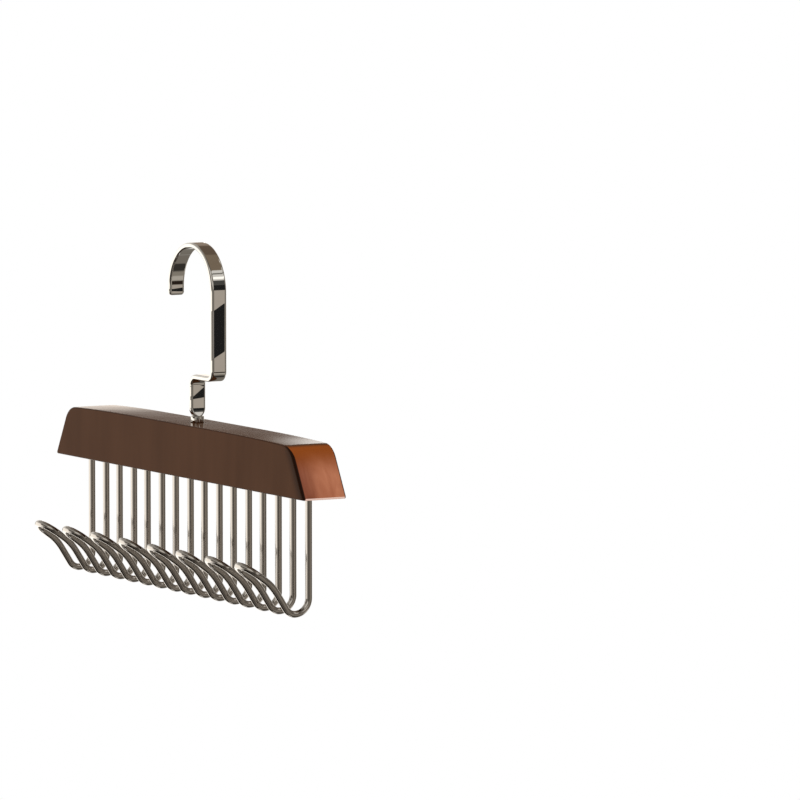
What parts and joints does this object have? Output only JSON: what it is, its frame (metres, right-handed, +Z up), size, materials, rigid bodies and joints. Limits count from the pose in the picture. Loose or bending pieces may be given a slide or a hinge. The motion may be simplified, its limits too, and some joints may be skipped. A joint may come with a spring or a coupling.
{
  "type": "multi-hook hanger",
  "caption": "Wooden hanger bar on a swivelling flat strip hook, with bent double-wire hooks along its underside for straps, ties or belts.",
  "frame": {"origin": "the point inside the strip hook's bend that rests on top of the rail", "axes": "+X along the bar, away from the hook's free tip; +Y along the rail, away from the side that the wire hooks lean to; +Z up"},
  "size_m": [0.3132, 0.0563, 0.2072],
  "materials": {
    "polished_strip": "polished chrome plating",
    "polished_wire": "polished chrome plating",
    "plated_steel": "zinc plated",
    "lacquered_wood": "dark stain under gloss lacquer"
  },
  "bodies": {
    "hook": {"hook_strip": "polished_strip", "swivel_pin": "polished_strip", "thrust_washer": "plated_steel", "lock_nut": "plated_steel"},
    "bar": {"wooden_bar": "lacquered_wood", "wire_hook_1": "polished_wire", "wire_hook_2": "polished_wire", "wire_hook_3": "polished_wire", "wire_hook_4": "polished_wire", "wire_hook_5": "polished_wire", "wire_hook_6": "polished_wire", "wire_hook_7": "polished_wire", "wire_hook_8": "polished_wire"}
  },
  "joints": [
    {"name": "hook_swivel", "type": "hinge", "parent": "hook", "child": "bar", "pos_m": [0, 0, -0.103], "axis": [0, 0, 1], "continuous": true}
  ]
}
